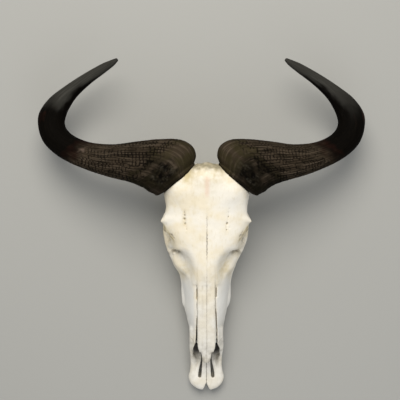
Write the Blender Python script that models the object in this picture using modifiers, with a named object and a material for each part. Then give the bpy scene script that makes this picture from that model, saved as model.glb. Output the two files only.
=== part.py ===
# Skull of a blue wildebeest bull without its lower jaw, lying on its cheek teeth.
#
# All dimensions below are in millimetres. They are turned into metres when a shape is made.
# X is sideways, Y runs from the tip of the muzzle back to the horns and Z is up, so the
# tabletop is at Z = 0. At the end everything is moved together in X and Y so that the
# middle of the outer box stands on the origin. Every paired form is built once for each side.
# The horns are not quite a pair: both swing a little towards the animal's right.

import math

import bmesh
import bpy
import numpy as np
from mathutils import Matrix, Vector

MM = 0.001
GAP = 0.4

# The face and the brow as seen in cross-section, from the muzzle backwards.
# Each row: distance from the muzzle tip, half width, height of the widest level,
# top on the midline, underside on the midline, squareness of the upper and lower half.
FACE_SECTIONS = [
    (92, 33, 46, 80, 25, 2.0, 2.8),
    (100, 34.5, 46, 84, 24, 2.0, 2.8),
    (120, 35.5, 46, 92, 23, 2.0, 2.8),
    (142, 37, 45, 99, 22, 1.9, 3.0),
    (162, 41, 45, 105, 22, 1.9, 3.0),
    (182, 46, 46, 112, 22, 1.9, 3.0),
    (202, 49, 47, 118, 22, 1.9, 3.0),
    (222, 51, 49, 124, 22, 1.9, 3.0),
    (242, 53, 54, 131, 23, 1.9, 2.6),
    (262, 56, 64, 139, 28, 1.9, 2.2),
    (282, 59, 76, 146, 42, 1.9, 2.0),
    (304, 58, 92, 152, 58, 2.0, 2.0),
    (330, 50, 104, 160, 66, 2.0, 2.0),
    (352, 40, 108, 166, 66, 2.0, 2.0),
]
BROW_SECTIONS = [
    (262, 40, 104, 138, 92, 2.0, 2.0),
    (286, 56, 116, 147, 98, 2.0, 2.0),
    (308, 65, 125, 154, 104, 2.0, 2.0),
    (326, 68, 132, 160, 108, 2.1, 2.0),
    (342, 77, 139, 165, 116, 2.1, 2.0),
    (356, 85, 143, 170, 122, 2.1, 2.0),
    (369, 89, 147, 176, 124, 2.1, 2.0),
    (382, 85, 149, 181, 124, 2.1, 2.0),
    (396, 79, 151, 187, 122, 2.1, 2.0),
    (414, 78, 152, 194, 118, 2.2, 2.0),
    (430, 70, 152, 200, 112, 2.2, 2.0),
    (450, 58, 150, 204, 104, 2.3, 2.0),
    (468, 47, 146, 202, 98, 2.4, 2.0),
    (480, 40, 140, 194, 98, 2.4, 2.0),
    (487, 30, 134, 178, 100, 2.4, 2.0),
]
# The front plate of the muzzle, broad and blunt for grazing.
MUZZLE_SECTIONS = [
    (0, 13, 20, 25, 16, 2.4, 2.4),
    (5, 23, 20, 28, 13, 2.4, 2.4),
    (14, 33, 20, 31, 12, 2.6, 2.6),
    (28, 38.5, 21, 33, 12, 2.8, 2.8),
    (44, 36, 22, 34, 13, 2.8, 2.8),
    (68, 33, 24, 36, 15, 2.8, 2.8),
    (90, 33, 28, 38, 18, 2.8, 2.8),
    (112, 34, 32, 44, 22, 2.8, 2.8),
]
# The nasal bones: half width and top, on the midline of the face.
NASAL_SECTIONS = [
    (60, 4, 75), (64, 9, 76.5), (74, 13.5, 79), (90, 17, 84), (106, 18.5, 90), (142, 18.5, 101.5),
    (182, 18.5, 114), (222, 18.5, 126), (262, 18, 141), (300, 15, 153.5), (330, 9, 162),
]
NASAL_THICKNESS = 8

# The horns seen from above: the edge on the inside of the curve, the edge on the outside,
# the height of the middle and half the thickness, from the base to just short of the tip.
HORN_SECTIONS = [
    ((24, 482), (101, 419), 166, 38),
    ((20, 498), (110, 425), 168, 45),
    ((28, 517), (122, 433), 167, 48),
    ((52, 529), (142, 440), 163, 47),
    ((90, 530), (168, 447), 155, 42),
    ((134, 526), (200, 456), 144, 37),
    ((180, 521), (235, 468), 131, 32),
    ((224, 525), (270, 483), 117, 29),
    ((257, 537), (303, 503), 104, 27),
    ((275, 551), (326, 527), 95, 25.5),
    ((282, 565), (337, 557), 90, 24.5),
    ((281, 578), (336, 587), 88, 23),
    ((274, 596), (316, 617), 88, 20),
    ((258, 620), (285, 641), 91, 16),
    ((230, 646), (247, 665), 96, 12),
    ((196, 670), (207, 686), 104, 8.5),
    ((177, 684), (185, 695), 109, 5.5),
]
HORN_TIP = (170, 697, 112)
HORN_SIDES = 14
HORN_RINGS = 48
RIDGE_HEIGHT = 2.6
RIDGED_SHARE = 0.55
# Both horns swing this far towards the animal's right by the time they turn up.
HORN_LEAN = 10.5

# Upper cheek teeth of one side from front to back: length along the row and width.
TEETH = [
    ("premolar_2", 10, 12),
    ("premolar_3", 13, 15),
    ("premolar_4", 14, 17),
    ("molar_1", 18, 19),
    ("molar_2", 21, 20),
    ("molar_3", 22, 19),
]
TOOTH_ROW_START = 160
TOOTH_ROW_X = 31
TOOTH_HEIGHT = 37
TOOTH_SPACE = 0.8

BONE_VOXEL = 2.6
BONE_SMOOTHING = 5
BONE_DETAIL = 0.034


def collection(name):
    group = bpy.data.collections.new(name)
    bpy.context.scene.collection.children.link(group)
    return group


def material(name, colour, roughness):
    paint = bpy.data.materials.new(name)
    paint.use_nodes = True
    shader = paint.node_tree.nodes["Principled BSDF"]
    shader.inputs["Base Color"].default_value = (*colour, 1.0)
    shader.inputs["Roughness"].default_value = roughness
    shader.inputs["Metallic"].default_value = 0.0
    paint.diffuse_color = (*colour, 1.0)
    return paint


def add_object(name, mesh, group, paint=None):
    thing = bpy.data.objects.new(name, mesh)
    group.objects.link(thing)
    if paint:
        mesh.materials.append(paint)
    return thing


def loft_into(shape, rings, cap=True):
    # Joins rings of equally many points with quads and closes both ends.
    rows = [[shape.verts.new(Vector(point) * MM) for point in ring] for ring in rings]
    made = []
    for row, following in zip(rows, rows[1:]):
        for k in range(len(row)):
            n = (k + 1) % len(row)
            made.append(shape.faces.new((row[k], row[n], following[n], following[k])))
    if cap:
        made.append(shape.faces.new(rows[0][::-1]))
        made.append(shape.faces.new(rows[-1]))
    bmesh.ops.recalc_face_normals(shape, faces=made)


def loft_mesh(name, rings):
    shape = bmesh.new()
    loft_into(shape, rings)
    mesh = bpy.data.meshes.new(name)
    shape.to_mesh(mesh)
    shape.free()
    return mesh


def section_ring(section, count=28):
    # A closed outline across the skull: the upper and lower halves are superellipses
    # that share the widest level.
    y, width, level, top, bottom, upper, lower = section
    ring = []
    for k in range(count):
        angle = 2.0 * math.pi * k / count
        power = 2.0 / (upper if math.sin(angle) >= 0 else lower)
        x = width * math.copysign(abs(math.cos(angle)) ** power, math.cos(angle))
        rise = abs(math.sin(angle)) ** power
        z = level + (top - level) * rise if math.sin(angle) >= 0 else level - (level - bottom) * rise
        ring.append((x, y, z))
    return ring


def blend_rows(rows, steps):
    # Rows of numbers resampled along a smooth curve through them.
    table = np.array(rows, dtype=float)
    padded = np.vstack([2 * table[0] - table[1], table, 2 * table[-1] - table[-2]])
    out = []
    for place in steps:
        k = min(int(place), len(table) - 2)
        t = place - k
        a, b, c, d = padded[k:k + 4]
        out.append(0.5 * (2 * b + (c - a) * t + (2 * a - 5 * b + 4 * c - d) * t * t
                          + (3 * b - a - 3 * c + d) * t ** 3))
    return out


def ellipsoid_into(shape, centre, radii, turn=0.0, lean=0.0, sides=24):
    # A ball stretched to its three radii, leaned about X and then turned about Z.
    place = (Matrix.Translation(Vector(centre) * MM)
             @ Matrix.Rotation(math.radians(turn), 4, "Z")
             @ Matrix.Rotation(math.radians(lean), 4, "X")
             @ Matrix.Diagonal((*(r * MM for r in radii), 1.0)))
    bmesh.ops.create_uvsphere(shape, u_segments=sides, v_segments=sides * 2 // 3, radius=1.0, matrix=place)


def bar_into(shape, points, closed=False):
    # A rod of round section through points (x, y, z, radius), with filled ends.
    curve = bpy.data.curves.new("bar", "CURVE")
    curve.dimensions = "3D"
    curve.bevel_depth = MM
    curve.bevel_resolution = 3
    curve.use_fill_caps = True
    curve.resolution_u = 5
    line = curve.splines.new("NURBS")
    line.points.add(len(points) - 1)
    for point, (x, y, z, radius) in zip(line.points, points):
        point.co = (x * MM, y * MM, z * MM, 1.0)
        point.radius = radius
    line.order_u = 3
    line.use_endpoint_u = not closed
    line.use_cyclic_u = closed
    holder = bpy.data.objects.new("bar", curve)
    bpy.context.scene.collection.objects.link(holder)
    mesh = bpy.data.meshes.new_from_object(holder.evaluated_get(bpy.context.evaluated_depsgraph_get()))
    shape.from_mesh(mesh)
    bmesh.ops.remove_doubles(shape, verts=shape.verts, dist=1e-6)
    bpy.data.objects.remove(holder)
    bpy.data.curves.remove(curve)
    bpy.data.meshes.remove(mesh)


def box_into(shape, low, high):
    middle = (Vector(low) + Vector(high)) * 0.5
    size = Vector(high) - Vector(low)
    bmesh.ops.create_cube(shape, size=1.0, matrix=Matrix.Translation(middle * MM)
                          @ Matrix.Diagonal((*(size * MM), 1.0)))


def sided(side, *points):
    return [(side * p[0], *p[1:]) for p in points]


def horn_rings(side, grow=0.0, rings=HORN_RINGS, ridged=True):
    # Oval rings carried along the horn. The first and last ones close it with rounded ends,
    # and the rings near the base swell and shrink in turn as the growth ridges do.
    rows = [(*a, *b, z, t) for a, b, z, t in HORN_SECTIONS]
    rows.append((HORN_TIP[0] - 1.5, HORN_TIP[1] - 1.5, HORN_TIP[0] + 1.5, HORN_TIP[1] + 1.5, HORN_TIP[2], 1.5))
    share = np.linspace(0.0, 1.0, rings) ** 1.15
    places = share * (len(rows) - 1) * 0.99999
    loops = []
    for index, (place, row) in enumerate(zip(share, blend_rows(rows, places))):
        inner = Vector((row[0], row[1], row[4]))
        outer = Vector((row[2], row[3], row[4]))
        middle = (inner + outer) * 0.5
        across = (outer - inner) * 0.5
        half = across.length
        across.normalize()
        swell = 0.0
        if ridged and place < RIDGED_SHARE:
            swell = RIDGE_HEIGHT * (1.0 - place / RIDGED_SHARE) * (1 if index % 2 else -0.4)
            swell *= 0.6 + 0.4 * math.sin(index * 1.9)
        reach = min(1.0, place / 0.6)
        lean = HORN_LEAN * reach * reach * (3 - 2 * reach)
        ring = oval(middle, across, half + swell + grow, row[5] + swell + grow, side)
        loops.append([(x - lean, y, z) for x, y, z in ring])
    first = blend_rows(rows, [0.0])[0]
    middle = Vector(((first[0] + first[2]) / 2, (first[1] + first[3]) / 2, first[4]))
    across = (Vector((first[2], first[3], first[4])) - middle)
    back = Vector((-across.y, across.x, 0.0)).normalized()
    half = across.length
    across = across.normalized()
    rounding = [(0.965, 2.5), (0.86, 6.0), (0.70, 8.5)]
    for shrink, depth in rounding:
        centre = middle - back * (depth + grow)
        loops.insert(0, oval(centre, across, (half + grow) * shrink, (first[5] + grow) * shrink, side))
    return loops


def oval(middle, across, half, thick, side):
    ring = []
    for k in range(HORN_SIDES):
        angle = 2.0 * math.pi * k / HORN_SIDES
        point = middle + across * (half * math.cos(angle)) + Vector((0, 0, thick * math.sin(angle)))
        ring.append((side * point.x, point.y, point.z))
    return ring


def tooth_outline(length, width, grow=0.0):
    # Two rounded lobes in a row, deeper notched on the tongue side than on the cheek side.
    end = length / 2 + grow
    lobe = length / 4
    notch = 0.12 * width
    cheek = [(width / 2 - notch, -end), (width / 2, -lobe), (width / 2 - notch, 0.0),
             (width / 2, lobe), (width / 2 - notch, end)]
    tongue = [(-width / 2 + 2 * notch, end), (-width / 2, lobe + 1), (-width / 2, lobe - 1),
              (-width / 2 + 1.6 * notch, 0.0),
              (-width / 2, -lobe + 1), (-width / 2, -lobe - 1), (-width / 2 + 2 * notch, -end)]
    return [(x + math.copysign(grow, x), y) for x, y in cheek + tongue]


def tooth_rings(side, centre_x, centre_y, length, width, grow=0.0):
    # Upright prism that narrows a little towards the root.
    rings = []
    for z, scale in ((0.0 - grow * 10, 1.0), (TOOTH_HEIGHT * 0.55, 0.98), (TOOTH_HEIGHT + grow, 0.86)):
        outline = [(x * scale + math.copysign(grow * 0.2, x), y * scale) for x, y in tooth_outline(length, width, grow)]
        rings.append([(side * (centre_x + x), centre_y + y, z) for x, y in outline])
    return rings


def tooth_places():
    y = TOOTH_ROW_START
    for index, (name, length, width) in enumerate(TEETH):
        bow = 3.0 * math.sin(math.pi * (index + 0.5) / len(TEETH))
        yield name, TOOTH_ROW_X + bow, y + length / 2, length, width
        y += length + TOOTH_SPACE


def bone_forms():
    # Every bony form of the skull, overlapping, before they are grown together.
    shape = bmesh.new()
    fine = [k * 0.5 for k in range(2 * len(FACE_SECTIONS) - 1)]
    loft_into(shape, [section_ring(row) for row in blend_rows(FACE_SECTIONS, fine)])
    fine = [k * 0.5 for k in range(2 * len(BROW_SECTIONS) - 1)]
    loft_into(shape, [section_ring(row) for row in blend_rows(BROW_SECTIONS, fine)])
    fine = [k * 0.5 for k in range(2 * len(MUZZLE_SECTIONS) - 1)]
    loft_into(shape, [section_ring(row) for row in blend_rows(MUZZLE_SECTIONS, fine)])
    nasal = [(y, w, top - NASAL_THICKNESS / 2, top + 1, top - NASAL_THICKNESS, 2.6, 4.0)
             for y, w, top in NASAL_SECTIONS]
    fine = [k * 0.5 for k in range(2 * len(nasal) - 1)]
    loft_into(shape, [section_ring(row) for row in blend_rows(nasal, fine)])

    # Braincase, back of the head and the floor of the skull.
    ellipsoid_into(shape, (0, 420, 112), (50, 66, 58))
    ellipsoid_into(shape, (0, 458, 108), (63, 24, 56), lean=-6)
    ellipsoid_into(shape, (0, 478, 150), (22, 12, 34), lean=-10)
    bar_into(shape, [(0, 290, 66, 12), (0, 330, 58, 12), (0, 375, 50, 13), (0, 420, 45, 17), (0, 468, 42, 19)])
    for side in (-1, 1):
        ellipsoid_into(shape, (side * 21, 468, 31), (13.5, 18, 24), turn=-side * 12)
        bar_into(shape, sided(side, (50, 455, 80, 13), (49, 452, 50, 11), (46, 448, 22, 8), (43, 446, -2, 5.5)))
        ellipsoid_into(shape, (side * 33, 416, 44), (12, 21, 16), turn=side * 10)
        bar_into(shape, sided(side, (44, 424, 78, 9), (56, 426, 80, 8), (64, 428, 82, 7)))
        # Wings beside the inner nostrils, and the rim that carries the cheek teeth.
        ellipsoid_into(shape, (side * 21, 288, 52), (4.5, 32, 34), turn=-side * 6)
        ellipsoid_into(shape, (side * 14, 340, 62), (9, 40, 16))
        bar_into(shape, sided(side, (30, 150, 32, 8), (32, 172, 30, 11), (34, 205, 30, 14),
                              (34, 240, 31, 14), (32, 262, 34, 12), (29, 276, 42, 9)))
        ellipsoid_into(shape, (side * 45, 208, 52), (8.5, 22, 9))
        # Upper jaw beside the nostrils.
        bar_into(shape, sided(side, (33, 30, 26, 6), (31.5, 52, 31, 6.5), (29.5, 78, 43, 7),
                              (28, 100, 60, 8), (24, 126, 80, 9)))
        # Cheek arch from below the eye back to the ear.
        bar_into(shape, sided(side, (44, 256, 66, 10), (62, 284, 78, 12), (70, 302, 84, 13), (76, 324, 82, 9),
                              (80, 346, 80, 8), (81, 370, 80, 7.5), (77, 392, 82, 7.5), (68, 412, 86, 8),
                              (56, 428, 92, 10), (42, 438, 98, 12)))
        # Rim of the eye socket.
        bar_into(shape, sided(side, (84, 366, 145, 7), (77, 345, 146, 6), (67, 328, 141, 6), (63, 314, 127, 7),
                              (67, 304, 108, 8), (73, 306, 92, 8), (79, 324, 83, 7), (82, 350, 81, 7),
                              (85, 371, 90, 6.5), (87, 381, 108, 6.5), (87, 379, 130, 6.5)), closed=True)
        # Bone that carries the horn.
        ellipsoid_into(shape, (side * 58, 446, 162), (36, 48, 37), turn=-side * 39.3)
        ellipsoid_into(shape, (side * 62, 416, 140), (20, 34, 30))
    mesh = bpy.data.meshes.new("cranium")
    shape.to_mesh(mesh)
    shape.free()
    return mesh


def rounded_hollows(group):
    # Hollows that are cut while the bone is still fine: eyes, nose, ears and brain opening.
    hollows = []
    for side in (-1, 1):
        shape = bmesh.new()
        ellipsoid_into(shape, (side * 76, 343, 113), (34, 30, 25), turn=side * 14)
        hollows.append(("eye_socket", shape))
        shape = bmesh.new()
        ellipsoid_into(shape, (side * 44, 352, 106), (26, 18, 16), turn=side * 12)
        hollows.append(("eye_socket_depth", shape))
        shape = bmesh.new()
        ellipsoid_into(shape, (side * 46, 276, 142), (27, 22, 13), turn=-side * 24)
        hollows.append(("tear_hollow", shape))
    shape = bmesh.new()
    rows = [(40, 22, 44, 60, 37, 2.4, 2.4), (66, 23, 50, 74, 38, 2.4, 2.4), (92, 24, 56, 72, 38, 2.4, 2.4),
            (116, 22, 58, 79, 42, 2.4, 2.4), (150, 18, 66, 88, 48, 2.4, 2.4), (190, 16, 72, 98, 52, 2.4, 2.4),
            (225, 12, 76, 96, 60, 2.4, 2.4)]
    loft_into(shape, [section_ring(row) for row in rows])
    hollows.append(("nose_cavity", shape))
    shape = bmesh.new()
    ellipsoid_into(shape, (0, 290, 42), (13, 34, 22), lean=-14)
    hollows.append(("inner_nostrils", shape))
    shape = bmesh.new()
    bar_into(shape, [(0, 520, 52, 15), (0, 480, 54, 14.5), (0, 450, 60, 15), (0, 425, 66, 10)])
    hollows.append(("brain_opening", shape))
    shape = bmesh.new()
    ellipsoid_into(shape, (0, -2, 22), (5, 17, 40))
    hollows.append(("muzzle_notch", shape))
    for name, shape in hollows:
        mesh = bpy.data.meshes.new(name)
        shape.to_mesh(mesh)
        shape.free()
        cutter = add_object(name, mesh, group)
        cutter.hide_render = True
        cutter.display_type = "WIRE"
        yield cutter


def sharp_cuts(group):
    # Seats, sockets, slits and small holes that are cut into the finished bone.
    cuts = []
    for side in (-1, 1):
        shape = bmesh.new()
        loft_into(shape, horn_rings(side, GAP, ridged=True)[:22])
        cuts.append(("horn_seat", shape))
        for name, x, y, length, width in tooth_places():
            shape = bmesh.new()
            loft_into(shape, tooth_rings(side, x, y, length, width, GAP))
            cuts.append(("tooth_socket", shape))
        # Slot behind the front of the muzzle.
        shape = bmesh.new()
        ellipsoid_into(shape, (side * 12.6, 57, 26), (3.2, 30, 40), sides=12)
        cuts.append(("palate_slot", shape))
        # Slit beside the nasal bone.
        shape = bmesh.new()
        ellipsoid_into(shape, (side * 19.6, 142, 98), (1.4, 34, 12), lean=16, sides=8)
        cuts.append(("nasal_slit", shape))
        shape = bmesh.new()
        ellipsoid_into(shape, (side * 18.8, 216, 125), (1.2, 12, 8), lean=16, sides=6)
        cuts.append(("nasal_slit_short", shape))
        # Row of small holes above the eye, and the hole in front of the cheek teeth.
        for x, y, z, radius in ((45, 388, 180, 3.0), (43.5, 374, 175, 4.2), (41.5, 361, 170, 3.6), (39.5, 349, 165, 2.6)):
            shape = bmesh.new()
            ellipsoid_into(shape, (side * x, y, z), (radius, radius * 1.8, 9), sides=6)
            cuts.append(("brow_hole", shape))
        shape = bmesh.new()
        ellipsoid_into(shape, (side * 38, 156, 56), (9, 5, 4), sides=8)
        cuts.append(("cheek_hole", shape))
    shape = bmesh.new()
    box_into(shape, (-300, -50, -60), (300, 520, 0))
    cuts.append(("tabletop", shape))
    for name, shape in cuts:
        mesh = bpy.data.meshes.new(name)
        shape.to_mesh(mesh)
        shape.free()
        cutter = add_object(name, mesh, group)
        cutter.hide_render = True
        cutter.display_type = "WIRE"
        yield cutter


def add_remesh(thing, voxel):
    remesh = thing.modifiers.new("Grow together", "REMESH")
    remesh.mode = "VOXEL"
    remesh.voxel_size = voxel * MM
    remesh.use_smooth_shade = True


def build():
    for old in list(bpy.data.objects):
        bpy.data.objects.remove(old)
    skull = collection("Blue wildebeest skull")
    cutters = collection("Cutters")

    bone = material("Dry bone", (0.62, 0.52, 0.38), 0.62)
    horn = material("Dark horn", (0.026, 0.020, 0.015), 0.42)
    enamel = material("Tooth enamel", (0.58, 0.49, 0.33), 0.35)

    cranium = add_object("cranium", bone_forms(), skull, bone)
    add_remesh(cranium, BONE_VOXEL)
    for cutter in rounded_hollows(cutters):
        cut = cranium.modifiers.new(cutter.name, "BOOLEAN")
        cut.operation = "DIFFERENCE"
        cut.solver = "EXACT"
        cut.object = cutter
    add_remesh(cranium, BONE_VOXEL)
    smooth = cranium.modifiers.new("Weathered", "SMOOTH")
    smooth.factor = 0.5
    smooth.iterations = BONE_SMOOTHING
    facets = cranium.modifiers.new("Facets", "DECIMATE")
    facets.ratio = BONE_DETAIL
    facets.use_collapse_triangulate = True
    for cutter in sharp_cuts(cutters):
        cut = cranium.modifiers.new(cutter.name, "BOOLEAN")
        cut.operation = "DIFFERENCE"
        cut.solver = "EXACT"
        cut.object = cutter

    parts = [cranium]
    for side, word in ((1, "left"), (-1, "right")):
        parts.append(add_object(f"horn_{word}", loft_mesh(f"horn_{word}", horn_rings(side)), skull, horn))
        for name, x, y, length, width in tooth_places():
            mesh = loft_mesh(f"{name}_{word}", tooth_rings(side, x, y, length, width))
            parts.append(add_object(f"{name}_{word}", mesh, skull, enamel))

    # The middle of the box is worked out from the muzzle tip, the horn tips and the horns' bends.
    spread = [v.co.x for thing in skull.objects if thing.name.startswith("horn") for v in thing.data.vertices]
    length = [v.co.y for thing in parts for v in thing.data.vertices]
    shift = Matrix.Translation((-(min(spread) + max(spread)) / 2, -(min(length) + max(length)) / 2, 0.0))
    for thing in list(skull.objects) + list(cutters.objects):
        thing.data.transform(shift)
    for thing in parts[1:]:
        thing.data.shade_smooth()
        thing.data.set_sharp_from_angle(angle=math.radians(35))


build()
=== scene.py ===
import math

import bpy
import numpy as np
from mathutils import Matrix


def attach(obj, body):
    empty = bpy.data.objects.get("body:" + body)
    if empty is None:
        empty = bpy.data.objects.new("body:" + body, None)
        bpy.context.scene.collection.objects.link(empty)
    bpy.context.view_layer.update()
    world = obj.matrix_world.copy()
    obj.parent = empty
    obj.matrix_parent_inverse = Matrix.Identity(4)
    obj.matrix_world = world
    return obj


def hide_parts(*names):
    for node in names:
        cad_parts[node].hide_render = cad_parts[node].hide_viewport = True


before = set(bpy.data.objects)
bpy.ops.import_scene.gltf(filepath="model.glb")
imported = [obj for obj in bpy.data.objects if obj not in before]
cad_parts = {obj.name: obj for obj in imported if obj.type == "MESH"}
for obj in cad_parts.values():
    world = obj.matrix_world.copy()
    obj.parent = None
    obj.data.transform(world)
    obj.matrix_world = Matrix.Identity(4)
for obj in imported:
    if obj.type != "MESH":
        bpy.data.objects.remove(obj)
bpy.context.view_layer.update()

import openvdb

# Blue wildebeest skull, dressed over its solids. The shapes are in millimetres: x from the skull's
# midline, y back from the muzzle tip, z up from the table. toFrame turns them into the frame's metres.
skullPlace = {"midlineX": 10.5, "muzzleY": -349.25}
print("frame loaded")


def toFrame(points):
    return (np.asarray(points, dtype=float) + (skullPlace["midlineX"], skullPlace["muzzleY"], 0.0)) * 0.001


# 0 below low, 1 above high and a smooth step between.
def fade(value, low, high):
    t = np.clip((value - low) / (high - low), 0, 1)
    return t * t * (3 - 2 * t)


# A smooth band: up from 0 to 1 between the first two levels and down again between the last two.
def span(value, low, full, last, high):
    return fade(value, low, full) * (1 - fade(value, last, high))


# A smooth spot: e to the power of minus the squared distance from its middle, counted in reaches,
# along one measure or along two.
def spot(value, middle, reach, other=0.0, otherMiddle=0.0, otherReach=1.0):
    return np.exp(-((value - middle) / reach) ** 2 - ((other - otherMiddle) / otherReach) ** 2)


# Values read off straight lines through rows of place and value.
def readLine(places, rows):
    return np.interp(places, *np.array(rows, dtype=float).T)


# Values of a block between its cells: the eight round each place, weighed by how near they are.
def betweenCells(block, low, part):
    return sum(np.prod(np.where(corner, part, 1 - part), axis=1)
               * block[tuple(((low + corner) % block.shape).T)] for corner in np.ndindex(2, 2, 2))


# Random heights on a cubic lattice, blended smoothly from corner to corner, between -1 and 1.
def softNoise(points, size, seed):
    place = points / size
    part = place - np.floor(place)
    lattice = np.random.default_rng(seed).uniform(-1, 1, (32, 32, 32))
    return betweenCells(lattice, np.floor(place).astype(int), part * part * (3 - 2 * part))


# Several noises on top of each other, each half as large and half as strong as the one before.
def layeredNoise(points, size, layers, seed):
    total = sum(softNoise(points, size / 2 ** k, seed + k) / 2 ** k for k in range(layers))
    return total / (2 - 2 ** (1 - layers))


# Places evenly from the first row to just short of the last.
def placesAlong(rows, count):
    return np.linspace(0, len(rows) - 1, count) * 0.99999


# Rows of numbers read off a smooth curve through them, at fractional row places.
def alongCurve(rows, places):
    table = np.array(rows, dtype=float)
    padded = np.vstack([2 * table[0] - table[1], table, 2 * table[-1] - table[-2]])
    cell = np.clip(places.astype(int), 0, len(table) - 2)
    t = (places - cell)[:, None]
    a, b, c, d = (padded[cell + k] for k in range(4))
    return 0.5 * (2 * b + (c - a) * t + (2 * a - 5 * b + 4 * c - d) * t ** 2
                  + (3 * b - a - 3 * c + d) * t ** 3)


# Horn: oval rings carried along a curve. Each row: the edge inside the curve (x, y), the edge
# outside it (x, y), the height of the middle and half the thickness, from the base to the tip.
hornValues = {
    "rows": [
        (24, 482, 103.5, 418.5, 166, 38), (20, 498, 114, 423, 168, 45), (28, 517, 126, 431.5, 167, 48),
        (52, 529, 144, 440, 163, 47), (90, 530, 168, 447, 155, 42), (134, 526, 200, 456, 144, 37),
        (180, 521, 235, 468, 131, 32), (224, 525, 270, 483, 117, 29), (257, 537, 303, 503, 104, 27),
        (275, 551, 326, 527, 95, 25.5), (282, 565, 337, 557, 90, 24.5), (281, 578, 336, 587, 88, 23),
        (274, 596, 316, 617, 88, 20), (258, 620, 285, 641, 91, 16), (230, 646, 247, 665, 96, 12),
        (196, 670, 207, 686, 104, 8.5), (179, 682.5, 187, 693.5, 109, 6),
        (171.5, 690.5, 176.1, 697, 111, 4.2)],
    "lean": 10.5,           # both horns swing this far to the animal's right
    "around": 236,
    "along": 392,
    "denser": 1.12,         # above 1 the rings lie closer together at the base
    "capDepth": 9.0,        # rounded end at the skull
    "tipLength": 3.6,
    "window": [(10, 395, 105), (102, 504, 216)],  # corners of the space round the seat
    "seatRows": 3.2,        # rows of the curve that the seat in the bone follows
    "seatDiscs": 44,        # discs that it is made of
    "discThickness": 3.2,
    "wrinkleSpacing": 8.5,  # growth wrinkles near the base
    "wrinkleHeight": 0.6,
    "lumpHeight": 1.9,
    "knobHeight": 1.6,
    "grainDepth": 0.42,
    "crackDepth": 0.9,
    "blockLength": 6.8,     # mm between the cracks across the horn
    "blockWidth": 4.6,      # and between those along it
    "blockRows": 50,        # blocks round the horn
    "skinRadius": 40,       # mm from the horn's middle, for its patterns
    "skinApart": 300,       # mm that each horn's patterns are moved, to opposite sides
    "crackedFrom": 48,      # zones along the horn, from its base
    "blackFrom": 222,
    "greyFrom": 346,
    # Where the horns differ: the black at the base, the scuffed patch and the edge of the grey end.
    "left": {"blackBase": 0.72, "scuff": 0.35, "greyEarly": 60, "greyLate": 64},
    "right": {"blackBase": 0.60, "scuff": 0.9, "greyEarly": 26, "greyLate": 30},
}


# Middle, direction across, half width, half thickness and sideways lean of the rings at the places.
def hornPath(places):
    table = alongCurve(hornValues["rows"], places)
    inside, outside = table[:, 0:2], table[:, 2:4]
    across = np.column_stack([outside - inside, np.zeros(len(table))])
    half = np.linalg.norm(across, axis=1) / 2
    middle = np.column_stack([(inside + outside) / 2, table[:, 4]])
    lean = hornValues["lean"] * fade(places / (len(hornValues["rows"]) - 1), 0, 0.6)
    return middle, across / (2 * half[:, None]), half, table[:, 5], lean


# Upper cheek teeth of one side from front to back: name, length along the row, width and lobes.
toothValues = {
    "row": [("premolar_2", 10, 12, 1), ("premolar_3", 13, 15, 1), ("premolar_4", 14, 17, 1),
            ("molar_1", 18, 19, 2), ("molar_2", 21, 20, 2), ("molar_3", 22, 19, 2)],
    "start": 160, "x": 31, "bow": 3.0, "space": 0.8, "height": 37, "around": 120,
    "squareness": 0.62,  # power of the outline, 1 for an oval
    "ripple": 0.16,
    # Depth of the grinding face below the tooth's end, and what its rim, ridges and wells add or take.
    "faceDepth": 1.5, "rimHeight": 1.3, "ridgeHeight": 1.1, "wellDepth": 1.6,
}


# Name, middle (x, y), length, width and lobes of each tooth of one side.
def toothMiddles():
    y = toothValues["start"]
    for index, (name, length, width, lobes) in enumerate(toothValues["row"]):
        bow = toothValues["bow"] * math.sin(math.pi * (index + 0.5) / len(toothValues["row"]))
        yield name, toothValues["x"] + bow, y + length / 2, length, width, lobes
        y += length + toothValues["space"]


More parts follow.
